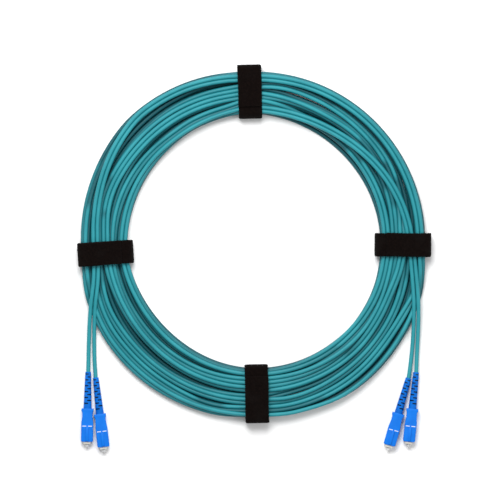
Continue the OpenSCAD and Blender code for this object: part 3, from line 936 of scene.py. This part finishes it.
def model_boot(first_side):
    """The tapered boot: collar, bore with the crimp's step, rows of slots on alternate sides."""
    boot = rod(COLLAR_R, BOOT_FROM, BOOT_TO, 72, "strain_boot")
    slice_at(boot, BOOT_RINGS)
    for place in (BOOT_FROM, *BOOT_RINGS, BOOT_TO):
        share = boot_radius(place) / COLLAR_R
        squeeze(boot, lambda p, y=place: abs(p.y - y) < 0.01, (share, 1, share))
    combine(boot, rod(*CRIMP_BORE))
    combine(boot, rod(*JACKET_BORE))
    for row in range(SLOT_ROWS):
        y = FIRST_SLOT + SLOT_PITCH * row
        side = first_side * (-1) ** row
        for up in (1, -1):
            place = (side * up * SLOT_SIDE, y + SLOT_L / 2, AXIS + up * SLOT_RISE)
            slot = block((4.2, SLOT_L, 4), place)
            finish_modifier(slot, "BEVEL", width=0.2 * MM, segments=2)
            combine(boot, slot)
    soften(boot, 0.07, 50, 1)
    # Depth below the outside, which sets the painted shade in the slots
    slot_shade_depth = boot.data.attributes.new("slot_shade_depth", "FLOAT", "POINT")
    depths = []
    for v in boot.data.vertices:
        off = math.hypot(v.co.x, v.co.z - AXIS_Z) / MM
        depths.append((boot_radius(v.co.y / MM) - off) / DARK_DEPTH)
    slot_shade_depth.data.foreach_set("value", depths)
    return boot


# The finish of the parts inside a plug, which keep the shape that the frame gives them
INNER_PARTS = {"ferrule": "ferrule", "flange": "plated_metal", "fibre": "fibre",
               "rear_body": "rear_body", "yarn": "yarn", "crimp_sleeve": "plated_metal"}


def make_plugs():
    """Models each outer piece once, puts copies at the four ends and finishes the inner parts."""
    grip, frame_piece = model_grip(), model_frame()
    boots = {"left": model_boot(-1), "right": model_boot(1)}
    marks = model_marks()
    pieces = {}
    for end in ENDS:
        boot = boots[end.split("_")[0]]
        for part, master in (("grip", grip), ("plug_frame", frame_piece), ("boot", boot)):
            piece = at_end(master, end)
            dress(piece, f"sliding_grip_{end}" if part == "grip" else "cord", part, f"{part}_{end}")
            pieces[f"{part}_{end}"] = piece
        printed = at_end(marks, end)
        dress(printed, f"sliding_grip_{end}", "mark")
    for master in (grip, frame_piece, *boots.values(), marks):
        bpy.data.objects.remove(master)
    for part, finish in INNER_PARTS.items():
        for end in ENDS:
            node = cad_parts[f"{part}_{end}"]
            node.data.materials.clear()
            node.data.materials.append(FINISHES[finish])
    return pieces


def make_springs():
    """The springs behind the flanges, copied from the CAD springs, welded and shaded smooth."""
    for end in ENDS:
        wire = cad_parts[f"spring_{end}"].data.copy()
        spring = bpy.data.objects.new(f"coil_spring_{end}", wire)
        bpy.context.scene.collection.objects.link(spring)
        take(spring)
        bpy.ops.object.mode_set(mode="EDIT")
        bpy.ops.mesh.select_all(action="SELECT")
        bpy.ops.mesh.remove_doubles(threshold=0.001 * MM)
        bpy.ops.object.mode_set(mode="OBJECT")
        bpy.ops.object.shade_smooth_by_angle(angle=math.radians(70))
        seat, tip = Vector(on_axis(end, SPRING_SEAT)), Vector(on_axis(end, 0))
        ahead = (seat - tip).normalized()
        length = max((seat - v.co).dot(ahead) for v in spring.data.vertices)
        dress(spring, "cord", "spring_steel", f"spring_{end}")
        1 - FERRULE_TRAVEL / length
        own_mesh(spring)


# ---------------------------------------------------------------- the straps

# Where each loop begins and ends along its radius
STRAP_SPANS = {"left": (90.3, 132.1), "top": (94.2, 134.6), "right": (91.0, 133.3), "bottom": (90.4, 134.3)}
LOOP_TOP = 12.6
BAND_T = 1.3
BAND_STEP = 0.5
INNER_BEND, OUTER_BEND = 4.2, 2.6
# The tail: where it leaves the loop, how far short of the loop's inside edge it ends, the air
# under it, and the stretch on each side of its hinge that bends as it peels
TAIL_ROOT_Z = 8.6
TAIL_SHORT = 9
TAIL_AIR = 0.05
BEND_OUT, BEND_IN = 1.8, 4.5
# The fabric: points across a face, how square its edge is, the teeth of its woven edge, its nap
ACROSS = 37
EDGE_POWER = 14
TOOTH, TOOTH_PACE, TOOTH_SPREAD = 0.10, 1.9, 0.05
NAP = 0.045


def bend_path(corners):
    """The rounded corners of a line of (x, z, radius), all but its first and last."""
    out = []
    for (x0, z0, _), (x1, z1, radius), (x2, z2, _) in zip(corners, corners[1:], corners[2:]):
        a = np.array([x0 - x1, z0 - z1], float)
        b = np.array([x2 - x1, z2 - z1], float)
        a /= np.linalg.norm(a)
        b /= np.linalg.norm(b)
        half = math.acos(np.clip(a @ b, -1, 1)) / 2
        reach = radius / math.tan(half)
        centre = np.array([x1, z1]) + (a + b) / np.linalg.norm(a + b) * radius / math.sin(half)
        start = np.array([x1, z1]) + a * reach
        end = np.array([x1, z1]) + b * reach
        first = math.atan2(*(start - centre)[::-1])
        swing = (math.atan2(*(end - centre)[::-1]) - first + math.pi) % (2 * math.pi) - math.pi
        for t in np.linspace(0, 1, 9):
            turned = first + swing * t
            out.append(centre + radius * np.array([math.cos(turned), math.sin(turned)]))
    return out


def resample(points, step, closed):
    """The same line with its points a step apart, and its length."""
    points = np.array(points)
    if closed:
        points = np.concatenate([points, points[:1]])
    run = np.concatenate([[0], np.cumsum(np.linalg.norm(np.diff(points, axis=0), axis=1))])
    count = max(8, round(run[-1] / step))
    at = np.linspace(0, run[-1], count + 1)
    line = np.stack([np.interp(at, run, points[:, k]) for k in (0, 1)], 1)
    return (line[:-1] if closed else line), run[-1]


def band(name, line, closed, angle, thick, seed, drift=0.0):
    """A strip of hook-and-loop along a line in the upright plane of a strap, with nap and a woven edge."""
    random = np.random.default_rng(seed)
    count = len(line)
    if closed:
        ahead = np.roll(line, -1, 0) - np.roll(line, 1, 0)
    else:
        ahead = np.gradient(line, axis=0)
    ahead /= np.linalg.norm(ahead, axis=1)[:, None]
    out = np.stack([-ahead[:, 1], ahead[:, 0]], 1)
    across = np.linspace(-1, 1, ACROSS)
    face = np.sqrt(np.clip(1 - np.abs(across) ** EDGE_POWER, 0, 1)) * 0.5
    profile = np.concatenate([np.stack([across, face], 1), np.stack([across[::-1], -face[::-1]], 1)[1:-1]])
    sides = len(profile)
    along = np.arange(count)[:, None]
    # woven edge: a small tooth at each pick of the weave, and a slow wander of the whole strip
    tooth = TOOTH * np.sign(np.sin(along * TOOTH_PACE)) + random.normal(0, TOOTH_SPREAD, (count, 1))
    wander = drift * np.sin(along / count * 2 * math.pi + seed)
    half = STRAP_W / MM / 2 + tooth * (np.abs(profile[None, :, 0]) > 0.98)
    y = profile[None, :, 0] * half + wander
    nap = random.normal(0, NAP, (count, sides))
    for _ in range(2):
        nap = (nap + np.roll(nap, 1, 1) + np.roll(nap, -1, 1)) / 2.2
    lift = profile[None, :, 1] * np.broadcast_to(np.asarray(thick, float).reshape(-1, 1), (count, 1)) + nap
    points = line[:, None] + lift[:, :, None] * out[:, None]
    turned = math.radians(angle)
    x, z = points[..., 0], np.maximum(points[..., 1], 0.02)
    rings = np.stack([x * math.cos(turned) - y * math.sin(turned),
                      x * math.sin(turned) + y * math.cos(turned), z], 2) * MM
    piece = skin(name, rings, closed)
    take(piece)
    bpy.ops.object.mode_set(mode="EDIT")
    bpy.ops.mesh.select_all(action="SELECT")
    bpy.ops.mesh.normals_make_consistent(inside=False)
    bpy.ops.object.mode_set(mode="OBJECT")
    return piece


def make_strap(which, seed):
    """One strap: the loop round the coil, and its tail laid back over the top."""
    x0, x1 = STRAP_SPANS[which]
    angle = STRAPS[which]
    t = BAND_T / 2
    low, high = t + 0.03, LOOP_TOP - t - TAIL_AIR
    ring = [(x0 + t, low, INNER_BEND), (x1 - t, low, OUTER_BEND),
            (x1 - t, high, OUTER_BEND), (x0 + t, high, INNER_BEND)]
    line, length = resample(bend_path(ring + ring[:2]), BAND_STEP, True)
    loop = band(f"strap_loop_{which}", line, True, angle, BAND_T, seed, 0.12)
    dress(loop, "cord", "strap", f"strap_{which}")

    hinge = x1 - 2 * STRAP_T / MM
    top = LOOP_TOP + TAIL_AIR + t
    start = (x1 - 0.05, TAIL_ROOT_Z)
    over = [(*start, 0), (x1 + 0.1, top, 3.1), (x0 + TAIL_SHORT, top, 0)]
    line, length = resample([start, *bend_path(over), (x0 + TAIL_SHORT, top)], BAND_STEP, False)
    run = np.linspace(0, length, len(line))
    thick = np.interp(run, (0, 3.0, 7.0, length - 0.6, length), (0.25, 0.7, BAND_T, BAND_T, 0.7))
    tail = band(f"strap_tail_piece_{which}", line, False, angle + 0.15, thick, seed + 10, 0.2)
    dress(tail, None, "strap", f"strap_tail_{which}")
    a = math.radians(angle)
    ends = [(r * MM * math.cos(a), r * MM * math.sin(a), LOOP_TOP * MM)
            for r in (hinge + BEND_OUT, hinge - BEND_IN)]
    return tail, ends


make_camera()
make_stage()
cords, lines = make_cords()
plugs = make_plugs()
make_springs()
for which, piece in cords.items():
    left, right = "left_" + which, "right_" + which
    dress(piece, "cord", "jacket", "coil", "leg_" + left, "leg_" + right)
    on_far_end = [plugs[f"{part}_{right}"] for part in ("boot", "grip", "plug_frame")]
    on_far_end += [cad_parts[f"{part}_{right}"] for part in ("ferrule", "crimp_sleeve", "rear_body")]
for seed, which in enumerate(STRAPS, 21):
    tail, ends = make_strap(which, seed)
    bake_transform(tail)
